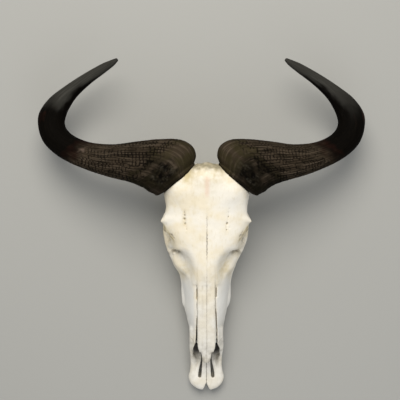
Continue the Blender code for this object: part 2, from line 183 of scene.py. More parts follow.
# Cranium. Its bone is one closed surface round holes and arches, which no single grid of two
# parameters gives. So its distance is worked out on a block of cells, one form after another,
# and meshed at zero. The block holds the animal's left half, and is mirrored before the uneven details.
craniumValues = {
    "cell": 1.5,
    "low": (-4.5, -9.0, -6.0),
    "high": (102.0, 504.0, 216.0),
    "far": 25.0,            # distance in the empty block, and where a skin's is cut off
    "margin": 12,           # mm round a form that its blend can reach
    "triangles": 190000,
    "undulation": 0.7,      # broad unevenness of the bone
    "roughness": 0.22,      # small unevenness
    "backRoughness": 0.8,   # that of the back edge
    "faceBow": 3.0,         # mm that the face bows sideways, 60 mm from the midline
    "archInward": 2.8,
    "jawInward": 4.2,
    # Rows: y, half width, widest level, top, underside, squareness above and below.
    "face": [
        (92, 33, 46, 80, 25, 2, 2.8), (100, 34.5, 46, 84, 24, 2, 2.8), (120, 35.5, 46, 92, 23, 2, 2.8),
        (142, 37, 45, 99, 22, 1.9, 3), (162, 41, 45, 105, 22, 1.9, 3), (182, 46, 46, 112, 22, 1.9, 3),
        (202, 49, 47, 118, 22, 1.9, 3), (222, 51, 49, 124, 22, 1.9, 3), (242, 53, 54, 131, 23, 1.9, 2.6),
        (262, 56, 64, 139, 28, 1.9, 2.2), (282, 59, 76, 146, 42, 1.9, 2), (304, 58, 92, 152, 58, 2, 2),
        (330, 50, 104, 160, 66, 2, 2), (352, 40, 108, 166, 66, 2, 2)],
    "brow": [
        (240, 30, 100, 129, 90, 2, 2), (262, 42, 102, 138.5, 90, 2, 2), (286, 55, 108, 147, 92, 2, 2),
        (308, 65.5, 118, 154, 98, 2.3, 2), (326, 69, 129, 160, 106, 2.6, 2),
        (342, 77, 137, 165.5, 116, 2.4, 2), (356, 83, 142, 170.5, 121, 2.15, 2),
        (368, 86, 145.5, 175, 124, 2, 2), (382, 83.5, 148.5, 179.8, 124, 2, 2),
        (396, 79, 150.5, 185.2, 122, 2.25, 2), (414, 78, 152, 192, 118, 2.6, 2),
        (430, 72, 152, 198, 112, 2.7, 2), (450, 58, 150, 204, 104, 2.3, 2),
        (464, 48, 146, 202, 98, 2.4, 2), (473, 42, 140, 196, 98, 2.4, 2), (480, 34, 132, 178, 100, 2.4, 2)],
    "muzzle": [
        (0.5, 12, 20, 25, 16, 2.4, 2.4), (5, 23, 20, 28, 13, 2.4, 2.4), (14, 33, 20, 31, 12, 2.6, 2.6),
        (28, 38, 21, 33, 12, 2.6, 2.6), (44, 34.2, 22, 34, 13, 2.6, 2.6), (68, 31.5, 24, 36, 15, 2.6, 2.6),
        (90, 32.5, 28, 38, 18, 2.8, 2.8), (112, 34, 32, 44, 22, 2.8, 2.8)],
    "nasal": [
        (69, 5.5, 73, 77.5, 69), (73, 7.2, 74.5, 79.5, 70.5), (80, 9.3, 77, 82, 73),
        (88, 12.4, 79.5, 84.5, 75.5), (96, 15.6, 82.5, 87.5, 78.5), (106, 18, 86, 91, 82),
        (142, 18.5, 97.5, 102.5, 93.5), (182, 18.5, 110, 115, 106), (222, 18.3, 121, 125.5, 117),
        (262, 17.5, 133.5, 138, 129), (300, 15, 146, 150, 142), (330, 9, 154, 158, 150)],
    "nasalSquareness": (2.6, 4),
    "noseCavity": [
        (66, 20, 50, 66, 40), (78, 25.5, 52, 70, 34), (92, 27, 54, 74, 30), (116, 25, 57, 80, 31),
        (150, 18, 66, 89, 34), (190, 16, 72, 99, 40), (235, 12, 76, 100, 52)],
    "noseSquareness": (2.4, 2.4),
    # Long slot in the muzzle: x, y, z and radius.
    "slot": [(14, 31.5, 38, 3.3), (13.4, 38, 39, 3.5), (12, 50, 40, 2.9), (10.2, 64, 42, 2.5),
             (9.9, 78, 44, 2.4), (11.6, 92, 46, 2)],
    # Edge of the brow in front of the eye, half width against y: the bone steps down in front of it.
    "crease": [(0, 232), (26, 238), (34, 258), (38, 280), (43, 294.5), (48, 302), (54, 305.5), (62, 306.5),
               (70, 304.5), (78, 300), (100, 296)],
    # Half width of the nasal bones against y, and how much the seams show there.
    "nasalEdge": [(60, 19), (106, 19.4), (262, 18.6), (300, 15.5), (345, 0)],
    "nasalShow": [(170, 0), (190, 0.35), (262, 0.18), (300, 0.08), (345, 0)],
    "midShow": [(8, 0), (16, 0.6), (66, 0.6), (70, 0.3), (262, 0.3), (278, 0.15), (290, 0.22), (308, 0.55),
                (336, 0.55), (345, 0.32), (372, 0.28), (384, 0)],
}
cell = craniumValues["cell"]
axes = [np.arange(lo, hi, cell) for lo, hi in zip(craniumValues["low"], craniumValues["high"])]
bone = np.full([len(axis) for axis in axes], craniumValues["far"], dtype=np.float32)


# The lower of two distances with the crease between them filled over a width of blend.
def smoothLower(a, b, blend):
    h = np.clip(0.5 + 0.5 * (b - a) / blend, 0, 1)
    return b + (a - b) * h - blend * h * (1 - h)


# Distance to a stretched ball that is leaned about x and then turned about z.
def ballDistance(place, centre, radii, turn=0.0, lean=0.0):
    x, y, z = (p - c for p, c in zip(place, centre))
    ct, st = math.cos(math.radians(turn)), math.sin(math.radians(turn))
    cl, sl = math.cos(math.radians(lean)), math.sin(math.radians(lean))
    x, y = x * ct + y * st, y * ct - x * st
    y, z = y * cl + z * sl, z * cl - y * sl
    near = np.sqrt((x / radii[0]) ** 2 + (y / radii[1]) ** 2 + (z / radii[2]) ** 2) + 1e-6
    steep = np.sqrt((x / radii[0] ** 2) ** 2 + (y / radii[1] ** 2) ** 2 + (z / radii[2] ** 2) ** 2) + 1e-6
    return near * (near - 1) / steep


# Lowest distance to a chain of round cones along a smooth curve through points (x, y, z, radius).
# tall stretches the section upwards, and a tall of 0 makes an upright slot.
def rodDistance(place, rows, tall=1.0):
    dense = alongCurve(rows, placesAlong(rows, 5 * (len(rows) - 1) + 1))
    lift = 1.0 / tall if tall else 0.0
    best = np.inf
    for a, b in zip(dense[:-1], dense[1:]):
        run = (b[:3] - a[:3]) * (1, 1, lift)
        x, y, z = (p - c for p, c in zip(place, a[:3]))
        z = z * lift
        t = np.clip((x * run[0] + y * run[1] + z * run[2]) / max(run @ run, 1e-6), 0, 1)
        gap = np.sqrt((x - t * run[0]) ** 2 + (y - t * run[1]) ** 2 + (z - t * run[2]) ** 2)
        best = np.minimum(best, gap - (a[3] + t * (b[3] - a[3])))
    return best


# Distance to a skin whose cross-section is two half superellipses sharing their widest level.
def skinDistance(place, rows):
    x, y, z = place
    table = alongCurve(rows, placesAlong(rows, 12 * len(rows)))
    width, level, top, under, above, below = (np.interp(y, table[:, 0], table[:, k]) for k in range(1, 7))
    rise = np.where(z >= level, (z - level) / (top - level), (level - z) / (level - under))
    power = np.where(z >= level, above, below)
    reach = (np.abs(x / width) ** power + np.abs(rise) ** power + 1e-9) ** (1 / power)
    slope = np.sqrt(sum(g ** 2 for g in np.gradient(reach, cell))) + 1e-4
    ends = np.maximum(rows[0][0] - y, y - rows[-1][0])
    return np.maximum(np.clip((reach - 1) / slope, -craniumValues["far"], craniumValues["far"]), ends)


# Distance to an upright block with rounded corners.
def blockDistance(place, centre, halves, corner):
    sides = [np.abs(p - c) - h + corner for p, c, h in zip(place, centre, halves)]
    outside = np.sqrt(sum(np.maximum(s, 0) ** 2 for s in sides))
    return outside + np.minimum(np.maximum(np.maximum(sides[0], sides[1]), sides[2]), 0) - corner


# Distance to the base of the horn: discs along its path, grown by the gap.
def hornDistance(place, gap):
    v = hornValues
    middle, across, half, thick, lean = hornPath(np.linspace(0, v["seatRows"], v["seatDiscs"]))
    forward = np.array([-across[0, 1], across[0, 0], 0])
    depths = np.linspace(v["capDepth"], 0, 8, endpoint=False)
    shrink = (1 - (depths / (v["capDepth"] + 0.6)) ** 3) ** (1 / 3)
    cap = [(middle[0] - forward * d, across[0], half[0] * s, thick[0] * s) for d, s in zip(depths, shrink)]
    best = np.inf
    for centre, side, wide, tall in cap + list(zip(middle, across, half, thick)):
        x, y, z = (p - c for p, c in zip(place, centre))
        reach = np.sqrt(((x * side[0] + y * side[1]) / (wide + gap)) ** 2 + (z / (tall + gap)) ** 2)
        away = np.abs(y * side[0] - x * side[1]) - v["discThickness"] / 2
        best = np.minimum(best, np.maximum((reach - 1) * min(wide, tall), away))
    return best


# Lowest and highest corner of what a form fills.
def bounds(kind, shape, tall):
    if kind == "horn":
        return np.array(hornValues["window"])
    if kind in ("ball", "block"):
        return np.array(shape[0]) - max(shape[1]), np.array(shape[0]) + max(shape[1])
    rows = np.array(shape[0], dtype=float)
    if kind == "skin":
        return (np.array((-200, rows[0, 0], rows[:, 4].min())),
                np.array((rows[:, 1].max(), rows[-1, 0], rows[:, 3].max())))
    spread = np.array((4, 4, 300.0 if tall == 0 else rows[:, 3].max() * max(tall, 1.0)))
    return (rows[:, :3] - rows[:, 3:]).min(0) - spread, (rows[:, :3] + rows[:, 3:]).max(0) + spread


measures = {"ball": ballDistance, "rod": rodDistance, "skin": skinDistance, "block": blockDistance,
            "horn": hornDistance}


# Adds a form to the bone, or cuts it out, inside a window of the block round the form.
def form(kind, *shape, blend=6.0, cut=False, behind=None, **options):
    low, high = bounds(kind, shape, options.get("tall", 1.0))
    margin = craniumValues["margin"]
    window = tuple(slice(max(0, np.searchsorted(axis, lo) - 1), np.searchsorted(axis, hi) + 1)
                   for axis, lo, hi in zip(axes, low - margin, high + margin))
    place = np.ix_(*(axis[part] for axis, part in zip(axes, window)))
    distance = measures[kind](place, *shape, **options)
    if behind is not None:  # kept only behind a line across the skull
        distance = np.maximum(distance, (readLine(np.abs(place[0]), behind) - place[1]) * 0.6)
    now = bone[window]
    bone[window] = -smoothLower(-now, distance, blend) if cut else smoothLower(now, distance, blend)


# The same form cut out of the bone.
def carve(*shape, **options):
    form(*shape, cut=True, **options)


# The left half's forms in the order in which they join: what is cut first can be covered again.
def growSkull():
    v = craniumValues
    form("skin", v["face"])
    form("skin", v["brow"], blend=8, behind=v["crease"])
    form("skin", v["muzzle"], blend=5)
    # Braincase, back of the head and floor of the skull.
    form("ball", (0, 420, 112), (50, 66, 58), blend=8)
    form("ball", (0, 458, 108), (63, 24, 56), lean=-6)
    form("ball", (0, 470, 146), (24, 12, 40), lean=-10, blend=8)
    form("rod", [(0, 290, 66, 12), (0, 330, 58, 12), (0, 375, 50, 13), (0, 420, 45, 17), (0, 468, 42, 19)],
         blend=7)
    form("ball", (12, 424, 32), (6, 9, 7))
    form("ball", (21, 468, 31), (13.5, 18, 24), turn=-12, blend=4)
    form("rod", [(50, 455, 80, 13), (49, 452, 50, 11), (46, 448, 22, 8), (43, 446, 5, 4.2)])
    form("ball", (33, 416, 44), (12, 21, 16), turn=10, blend=4)
    form("rod", [(44, 424, 78, 9), (56, 426, 80, 8), (63, 428, 82, 7)], blend=5)
    form("rod", [(0, 475, 182, 5), (12, 472, 178, 5), (24, 474, 166, 6), (42, 470, 146, 6),
                 (57, 461, 112, 6), (58, 455, 84, 6)], blend=8)
    form("rod", [(0, 474, 178, 3.5), (0, 479, 140, 3.5), (0, 478, 100, 3)])
    # Wings beside the inner nostrils, and the rim that carries the cheek teeth.
    form("ball", (21, 288, 52), (4.5, 32, 34), turn=-6)
    form("ball", (14, 340, 62), (9, 40, 16))
    form("rod", [(30, 150, 32, 8), (32, 172, 30, 11), (34, 205, 30, 14), (34, 240, 31, 14),
                 (32, 262, 34, 12), (29, 276, 42, 9)])
    form("ball", (45, 208, 52), (8.5, 22, 9), blend=8)
    form("rod", [(45, 220, 54, 4.5), (50.5, 250, 62, 4.5), (55, 276, 74, 6)], blend=10)
    # Upper jaw beside the nostrils.
    form("rod", [(28, 34, 25, 6), (27.5, 54, 30, 5.5), (28, 72, 38, 5.5), (30, 90, 49, 5),
                 (30.5, 104, 56, 5), (29, 120, 63, 6), (27, 138, 69, 8)], blend=5)
    # Cheek arch from below the eye back to the ear, with the joint surface for the lower jaw.
    form("rod", [(42, 256, 68, 10), (52.5, 275, 77, 11), (58.5, 290, 86, 11), (70, 309, 92, 10),
                 (79.5, 332, 88, 7), (81, 352, 81, 7.5), (80, 374, 80, 7), (76, 394, 82, 7.5),
                 (68, 412, 86, 8), (56, 428, 92, 10), (42, 438, 98, 12)], blend=9)
    form("ball", (50, 288, 94), (16, 30, 17), turn=-14, blend=8)
    carve("ball", (44, 262, 162), (23, 46, 50), turn=-10, blend=9)
    form("ball", (58, 410, 82), (16, 12, 6))
    # Bone that carries the horn.
    form("ball", (58, 447, 157), (36, 48, 37), turn=-39.3, blend=14)
    form("ball", (62, 416, 140), (20, 34, 31), blend=12)
    # Hollows of the eye, the nose, the inner nostrils, the palate and the brain.
    carve("ball", (44, 352, 106), (26, 18, 16), turn=12, blend=4)
    carve("ball", (78, 350, 117), (33, 25, 22), turn=10, blend=3)
    carve("skin", [row + v["noseSquareness"] for row in v["noseCavity"]], blend=3)
    carve("rod", [(21.5, 103, 46, 9.5), (20.8, 92, 43, 9.5), (20.2, 83, 44, 8), (19.5, 74, 47, 7),
                  (18.5, 64, 49, 5), (18, 57, 49, 3)], blend=4)
    carve("rod", [(22.5, 80, 74, 3.4), (22.6, 88, 75, 6), (22, 95, 76, 6.4), (21, 103, 78, 4.4),
                  (20.8, 110, 80, 2.4)], tall=5.0, blend=1.5)
    carve("ball", (0, 290, 42), (13, 34, 22), lean=-14, blend=4)
    carve("rod", [(0, 120, 8, 16), (0, 165, 6, 21), (0, 220, 5, 24), (0, 268, 12, 24)])
    carve("rod", [(0, 496, 52, 15), (0, 480, 54, 14.5), (0, 450, 60, 15), (0, 425, 66, 10)], blend=3)
    # Rim of the eye socket, after its hollow so that it stays whole, with the point of the brow above it.
    form("rod", [(66, 373, 151, 9), (79, 370, 149.5, 6.5), (90.5, 365.5, 147.5, 1.7)])
    form("rod", [(85, 368, 142, 4.5), (77, 347, 140, 4.5), (68, 333, 135, 5), (66, 323, 122, 7),
                 (69, 318, 106, 9), (74, 322, 95, 8.5), (80, 336, 90, 6.5), (82, 352, 84, 6.5),
                 (81, 370, 90, 6), (79, 380, 108, 6), (81, 377, 128, 6), (85, 368, 142, 4.5)], blend=7)
    # Nasal bones over the nose.
    form("skin", [row + v["nasalSquareness"] for row in v["nasal"]], blend=1.5)
    # Notch between the front plates and the long slots behind them.
    carve("rod", [(0, -6, 20, 10), (0, 4, 20, 5.4), (0, 15, 20, 1.2)], tall=0, blend=2)
    carve("rod", v["slot"], tall=6.5, blend=1)
    carve("rod", [(x, y, z, 1.0) for x, y, z, r in v["slot"][1:]], tall=0, blend=0.5)
    # Seats of the horns and sockets of the teeth.
    carve("horn", 0.5, blend=0.8)
    high = toothValues["height"] / 2
    for name, x, y, length, width, lobes in toothMiddles():
        carve("block", (x, y, high - 4), (width / 2 + 0.5, length / 2 + 0.35, high + 5), 2.5, blend=0.6)


growSkull()
print("bone grown")

# From here on the block holds both sides.
midline = round(-craniumValues["low"][0] / cell)
bone = np.concatenate([bone[:midline:-1], bone[midline:]], axis=0)
axes[0] = np.concatenate([-axes[0][:midline:-1], axes[0][midline:]])


# Height of the topmost bone surface at (x, y).
def skinHeight(x, y):
    column = bone[int(np.abs(axes[0] - x).argmin()), int(np.abs(axes[1] - y).argmin())]
    inside = np.nonzero(column < 0)[0]
    k = inside[-1] if len(inside) else 0
    return axes[2][k] + cell * column[k] / (column[k] - column[k + 1])


# Slits, holes and grooves differ a little from side to side. Rows: x, y, depth of the middle, radius.
unevenCuts = {
    "slits": [
        [(-18.2, 182, 1, 0.4), (-18.6, 172, 2, 1.1), (-19.6, 150, 3, 1.4), (-20.3, 130, 3, 1.6),
         (-20.8, 116, 3, 2), (-21.5, 104, 3, 3)],
        [(19.6, 185, 1, 0.4), (20, 174, 2, 1), (20.9, 150, 3, 1.2), (21.4, 130, 3, 1.4),
         (21.6, 116, 3, 1.9), (21.5, 104, 3, 2.8)],
        [(-18.6, 203, 0.5, 0.4), (-18.6, 207, 2, 1.1), (-18.7, 224, 2, 1.1), (-18.6, 229, 0.5, 0.4)],
        [(20.3, 208, 0.5, 0.4), (20.5, 213, 1.5, 1), (20.6, 226, 1.5, 1), (20.5, 232, 0.5, 0.4)]],
    "grooves": [
        [(-43.9, 390, 0, 0.3), (-43.7, 383, 0.1, 0.8), (-43.4, 371, 0.3, 1.2), (-42.6, 361, 0.3, 1.1),
         (-39.4, 349, 0.1, 0.6)],
        [(44.6, 388, 0, 0.3), (43, 376, 0.1, 0.7), (40.2, 362, 0.3, 1), (39.4, 350, 0.1, 0.8),
         (38, 338, 0, 0.3)]],
    # Pits and small bumps: x, y, radius and depth or height.
    "pits": [
        (-43.5, 378, 1.2, 2.4), (-43.8, 371, 1.5, 2.8), (-42.6, 361, 1.5, 2.4), (-40.2, 350, 0.9, 1.2),
        (-44.6, 384, 0.9, 1.4), (-44.2, 356, 0.8, 1.2), (44.2, 391, 1.2, 1.8), (42.3, 375, 1.4, 2.4),
        (39.8, 362, 1.9, 3.2), (39.3, 349, 1.2, 2.2), (45.4, 353, 0.9, 1.6), (46.5, 364, 0.8, 1.2),
        (38.8, 370, 0.8, 1.2), (42.2, 384, 0.9, 1.4), (-60, 309, 1.2, 1.6), (63, 309, 1, 1.6),
        (-31, 312, 0.8, 1), (-70, 337, 3.4, 2.6), (-65.5, 332, 2.4, 1.5), (69, 336, 3.2, 2.4),
        (73, 343, 2.2, 1.8)],
    "bumps": [(-64.5, 300, 3.2, 2.4), (-58.5, 302.5, 2.2, 1.4), (65, 301, 2.6, 1.6)],
    # Holes in the sides and the underside, alike on both sides: middle and radii.
    "holes": [((39, 157, 58), (8, 5, 4)), ((31, 408, 30), (3, 5, 6)), ((27, 392, 48), (4, 6, 6)),
              ((27, 446, 30), (6, 4, 4)), ((50, 440, 88), (10, 5, 5)), ((14, 262, 30), (2.4, 4, 8))],
}
for slit in unevenCuts["slits"]:
    carve("rod", [(x, y, skinHeight(x, y) - depth, r) for x, y, depth, r in slit], tall=7.0, blend=0.5)
for groove in unevenCuts["grooves"]:
    carve("rod", [(x, y, skinHeight(x, y) - depth + r * 0.4, r) for x, y, depth, r in groove], blend=2)
for x, y, across, up in unevenCuts["bumps"]:
    form("ball", (x, y, skinHeight(x, y) - across * 0.3), (across, across, across * 0.3 + up), blend=1.5)
for x, y, across, down in unevenCuts["pits"]:
    carve("ball", (x, y, skinHeight(x, y)), (across, across * 1.3, down), blend=0.8)
for (x, y, z), radii in unevenCuts["holes"]:
    for side in (1, -1):
        carve("ball", (side * x, y, z), radii, blend=1.5)

# Low relief of the top side, in mm downwards, each row smooth spots times bands.
gx, gy = np.meshgrid(axes[0], axes[1], indexing="ij")
aside = np.abs(gx)
ahead = readLine(aside, craniumValues["crease"]) - gy
relief = 1.4 * spot(ahead, 2, 4.5) * span(aside, 38, 54, 70, 82)  # valley along the crease
relief += 0.5 * spot(gx, 0, 1.6) * span(gy, 66, 80, 268, 290)  # groove between the nasal bones
relief += spot(gx, 0.4, 1.6) * span(gy, 278, 292, 374, 384)  # groove along the brow
relief -= 0.7 * spot(gx, -3.2, 2.2) * span(gy, 66, 90, 255, 285)  # ridge beside the first groove
relief += 0.3 * spot(aside, 19, 1.4) * span(gy, 170, 190, 225, 250)  # outer edges of the nasal bones
relief += 1.6 * spot(aside, 12, 7) * fade(gy, 470, 479) + 1.5 * fade(gy, 474, 482)  # back of the crown
relief += 0.6 * spot(gx, 0, 1.5) * span(gy, 16, 22, 60, 68)  # groove between the front plates
muzzleRelief = (relief * (gy < 70))[:, :, None] * span(axes[2], 26, 30, 60, 70)
bone += (relief[:, :, None] * fade(axes[2], 70, 80) + muzzleRelief).astype(np.float32)

# Unevenness of real bone, worked out only in the cells near the surface, and more at the back edge.
near = np.nonzero(np.abs(bone) < 3.5)
nearPoints = np.column_stack([axes[k][near[k]] for k in range(3)])
nearY, nearZ = nearPoints.T[1:]
rough = craniumValues["undulation"] * layeredNoise(nearPoints, 34, 2, 11)
rough += craniumValues["roughness"] * layeredNoise(nearPoints, 7, 2, 21)
backEdge = fade(nearY, 452, 478) + (1 - fade(nearZ, 20, 60)) * fade(nearY, 380, 400)
rough += craniumValues["backRoughness"] * np.clip(backEdge, 0, 1) * layeredNoise(nearPoints, 9, 3, 31)
bone[near] += rough.astype(np.float32)
# Nothing reaches below the table or ahead of the muzzle tip.
bone = np.maximum(bone, (0.4 - axes[2]).astype(np.float32))
bone = np.maximum(bone, (0.6 - axes[1])[:, None].astype(np.float32))


# Average over a cube of cells, by running sums along each axis, done twice for a soft edge.
def blurred(values, reach):
    width = 2 * reach + 1
    for axis in (0, 1, 2, 0, 1, 2):
        count = values.shape[axis]
        padded = values.take(np.clip(np.arange(-reach - 1, count + reach), 0, count - 1), axis)
        running = np.cumsum(padded, axis, dtype=np.float64)
        total = running.take(range(width, width + count), axis) - running.take(range(count), axis)
        values = (total / width).astype(np.float32)
    return values


# Values of the block at any points.
def readBlock(values, points):
    place = (points - [axis[0] for axis in axes]) / cell
    low = np.clip(np.floor(place).astype(int), 0, np.array(values.shape) - 2)
    return betweenCells(values, low, np.clip(place - low, 0, 1))


def addObject(name, data):
    made = bpy.data.objects.new(name, data)
    bpy.context.scene.collection.objects.link(made)
    return made


# A closed mesh as a piece of the scene: it rides on the skull and stands for its node.
def addPiece(name, mesh, node):
    mesh.shade_smooth()
    piece = addObject(name, mesh)
    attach(piece, "root")
    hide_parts(node)
    return piece


# Stores values for each vertex under their names, for the finishes to read.
def addValues(mesh, **layers):
    for name, values in layers.items():
        kind, key = ("FLOAT_VECTOR", "vector") if values.ndim == 2 else ("FLOAT", "value")
        layer = mesh.attributes.new(name, kind, "POINT")
        layer.data.foreach_set(key, np.ascontiguousarray(values, dtype=np.float32).ravel())


# Yellow-tan stains on the top side, and along the back edge of the crown tan that is partly painted
# shade: x, y, reach across and along, and strength.
tanStainsAndShade = [
    (-40, 458, 9, 18, 0.9), (17, 467, 10, 9, 0.5), (-14, 476, 20, 7, 0.8), (20, 478, 18, 6, 0.7),
    (-80, 322, 9, 14, 0.25), (78, 318, 9, 16, 0.4), (-87, 348, 6, 12, 0.7), (86, 348, 6, 12, 0.6),
    (-43, 264, 13, 20, 0.7), (40, 268, 15, 24, 0.7), (29, 238, 8, 34, 0.45), (-44, 372, 5, 18, 0.7),
    (-60, 396, 14, 22, 0.35), (64, 372, 12, 16, 0.4), (-62, 330, 10, 14, 0.25), (-24, 400, 7, 60, 0.28),
    (-70, 352, 8, 14, 0.3), (12, 430, 8, 40, 0.2), (-30, 216, 6, 50, 0.3), (30, 150, 5, 34, 0.25),
    (-30, 136, 5, 30, 0.3), (-36, 30, 6, 14, 0.4), (34, 34, 6, 12, 0.35)]
# Painted shade that lies alike on both sides, in front of the eye, on its rim and on the slopes of the nose:
# distance from the midline, y, reach across and along, height where it starts and is full, strength.
boneShadeSpots = [
    (55, 285, 17, 11, 80, 90, 0.16), (70, 297, 7, 4, 80, 90, 0.3), (71, 337, 7, 7, 100, 112, 0.35),
    (88, 351, 5, 10, 80, 100, 0.45), (20, 78, 9, 14, 66, 58, 1.1)]


# The block's surface at zero, thinned to the number of triangles.
def meshBone():
    grid = openvdb.FloatGrid(3.0)
    grid.copyFromArray(np.ascontiguousarray(np.clip(bone, -3, 3)))
    points, quads = grid.convertToQuads(0.0)
    fine = bpy.data.meshes.new("fineBone")
    fine.from_pydata(points * cell + [axis[0] for axis in axes], [], quads)
    holder = addObject("fineBone", fine)
    thin = holder.modifiers.new("fewerTriangles", "DECIMATE")
    thin.ratio = min(1.0, craniumValues["triangles"] / (2 * len(quads)))
    mesh = bpy.data.meshes.new_from_object(holder.evaluated_get(bpy.context.evaluated_depsgraph_get()))
    mesh.name = "craniumBone"
    bpy.data.objects.remove(holder)
    bpy.data.meshes.remove(fine)
    print("cranium", len(quads), "quads thinned to", len(mesh.polygons), "faces")
    return mesh


# Values that the bone's finish reads. A dent is how far a point lies below the bone's average round
# it, where the colour darkens, and deep is the share of bone round it, which darkens enclosed places as
# painted shade. The others are sums of smooth spots.
def boneTints(points):
    x, y, z = points.T
    aside = np.abs(x)
    dent = -readBlock(blurred(np.clip(bone, -6, 6), 2), points)
    wideDent = -readBlock(blurred(np.clip(bone, -12, 12), 5), points)
    deep = readBlock(blurred((bone < 0).astype(np.float32), 9), points)
    # Tan over the crown, partly its colour and partly painted shade that dims it.
    stainAndShade = 0.42 * fade(y, 405, 466) * fade(z, 140, 170)
    for middleX, middleY, across, along, strength in tanStainsAndShade:
        stainAndShade += strength * spot(x, middleX, across, y, middleY, along) * fade(z, 55, 75)
    blush = spot(x, 0.5, 5) * span(y, 405, 425, 445, 465)
    # The upper jaws are cool up to an uneven edge, the snout a little, and one spot of the brow.
    cool = fade(aside - 4 * (x < 0), 19, 27) * fade(y, 110, 185) * fade(z, 24, 60)
    cool *= 1 - fade(y + 14 * layeredNoise(points, 24, 2, 44), 205, 268)
    cool += 0.45 * (1 - fade(y, 150, 290)) + 0.5 * spot(x, 48, 22, y, 390, 24) * fade(z, 110, 130)
    # Painted shade in the crease in front of the eye, and a brown line under the edge of the brow that is
    # partly painted shade and partly tan.
    ahead = readLine(aside, craniumValues["crease"]) - y
    paintedShade = 0.5 * spot(ahead, 3.5, 6) * fade(z, 80, 90)
    paintedShade *= fade(aside, 34, 50) * (1 - 0.4 * fade(aside, 70, 80))
    for away, middleY, across, along, starts, full, strength in boneShadeSpots:
        paintedShade += strength * spot(aside, away, across, y, middleY, along) * fade(z, starts, full)
    streak = spot(y - 325 - 35 / 26 * (aside - 64), 0, 5) * fade(aside, 61, 67) * fade(z, 78, 92)
    paintedShade += 0.42 * streak
    stainAndShade += 0.8 * streak
    # Painted shade over the snout, more on its sides and on the tips of the nasal bones, and at the crown.
    paintedShade += 0.31 * (1 - fade(y, 240, 300)) * (1 - np.minimum(fade(aside, 17, 20), fade(y, 100, 125)))
    paintedShade += np.where(x > 0, 0.4, 0.28) * fade(aside, 21, 26) * span(y, 96, 112, 140, 175)
    paintedShade += 0.3 * (1 - fade(aside, 10, 15)) * span(y, 62, 72, 88, 118) * fade(z, 60, 66)
    crown = 0.24 * fade(y, 410, 450) + 0.6 * fade(y, 458, 474) * (1 - fade(aside, 24, 36))
    paintedShade += crown * fade(z, 150, 170)
    # The long slots and the nose are dark inside: painted shade.
    slotX, slotY = np.array(craniumValues["slot"])[:, :2].T
    inSlot = (1 - fade(np.abs(aside - np.interp(y, slotY, slotX)), 3.4, 4.6)) * span(z, 13, 15, 28, 32)
    inSlot *= span(y, 27, 29, 84, 92)
    inNose = span(y, 72, 92, 150, 170) * span(z, 24, 28, 62, 72) * span(aside, 9, 12, 26.5, 29.5)
    hidden = np.maximum(inNose, inSlot * fade(y, 30, 56))
    deep = np.maximum(deep, np.where(hidden > 0, 0.60 + 0.24 * hidden, 0))
    return {"dent": dent, "wideDent": wideDent, "deep": deep, "stainAndShade": stainAndShade,
            "paintedShade": np.maximum(paintedShade, inSlot), "cool": cool, "blush": blush}


# Distance to each seam between bones, and how much it shows: the midline, the nasal bones' edges, and
# the slanted planes of the jaw and cheek seams.
def boneSeams(points, normals):
    x, y, z = points.T
    aside = np.abs(x)
    midSeam = x - 0.5 + 0.6 * layeredNoise(points, 22, 2, 41) * fade(y, 290, 330)
    nasalSeam = aside - readLine(y, craniumValues["nasalEdge"]) + 0.5 * layeredNoise(points, 16, 2, 42)
    jawSeam = (z - 46) * 0.8 + (y - 150) * 0.6
    cheekSeam = (y - 352) + (z - 82) * 0.7
    sideSeam = np.where(y < 250, jawSeam, cheekSeam) + 1.2 * layeredNoise(points, 8, 2, 43)
    upward = fade(normals[:, 2], 0.2, 0.6)
    midShow = readLine(y, craniumValues["midShow"]) * upward
    midShow += 0.5 * fade(-normals[:, 2], 0.4, 0.8) * (1 - fade(y, 262, 275))
    nasalShow = readLine(y, craniumValues["nasalShow"]) * upward
    sideShow = np.where(y < 250, 0.35 * (z > 44) * (z < 88) * (aside > 22),
                        0.5 * (z < 96) * (aside > 70) * (y < 400))
    return {"seams": np.column_stack([midSeam * (1 - 0.1 * fade(y, 280, 300)), nasalSeam, sideSeam]),
            "seamShow": np.column_stack([midShow, nasalShow, sideShow])}


# The bone's mesh with the values for its finish, then bent a little unevenly between left and right.
def makeCranium():
    v = craniumValues
    mesh = meshBone()
    points, normals = np.empty((2, len(mesh.vertices), 3))
    mesh.vertices.foreach_get("co", points.reshape(-1))
    mesh.vertices.foreach_get("normal", normals.reshape(-1))
    addValues(mesh, **boneTints(points), **boneSeams(points, normals))
    # The face bows towards the animal's right, and the left cheek arch and the right upper jaw stand
    # less far out than their partners. x is a view, so the points move with it.
    x, y, z = points.T
    x -= v["faceBow"] * np.abs(x) / 60 * span(y, 120, 210, 275, 330)
    x -= v["archInward"] * fade(x, 55, 85) * span(y, 285, 315, 378, 398)
    x += v["jawInward"] * fade(-x, 20, 45) * fade(z, 36, 48) * span(y, 168, 205, 250, 276)
    mesh.vertices.foreach_set("co", toFrame(points).ravel())
    mesh.update()
    return addPiece("craniumBone", mesh, "cranium")


cranium = makeCranium()


# A closed mesh of rings of points joined by quads, each end drawn together to one point. The faces
# of the animal's left side are turned round, because it is the mirror image of the right.
def ringMesh(name, side, first, rings, last):
    rows, count = rings.shape[:2]
    start = 1 + np.arange(rows - 1)[:, None] * count
    k = np.arange(count)
    n = (k + 1) % count
    quads = np.stack([start + k, start + n, start + count + n, start + count + k], axis=-1).reshape(-1, 4)
    lastRow = 1 + (rows - 1) * count
    tris = np.vstack([np.column_stack([np.zeros(count, int), n + 1, k + 1]),
                      np.column_stack([np.full(count, 1 + rows * count), lastRow + k, lastRow + n])])
    if side > 0:
        quads, tris = quads[:, ::-1], tris[:, ::-1]
    mesh = bpy.data.meshes.new(name)
    points = toFrame(np.vstack([first, rings.reshape(-1, 3), last]))
    mesh.from_pydata(points, [], quads.tolist() + tris.tolist())
    return mesh


# Values of the rings in one row, with the first and the last repeated for the two end points.
def withEnds(values):
    flat = values.reshape((-1,) + values.shape[2:])
    return np.concatenate([flat[:1], flat, flat[-1:]])


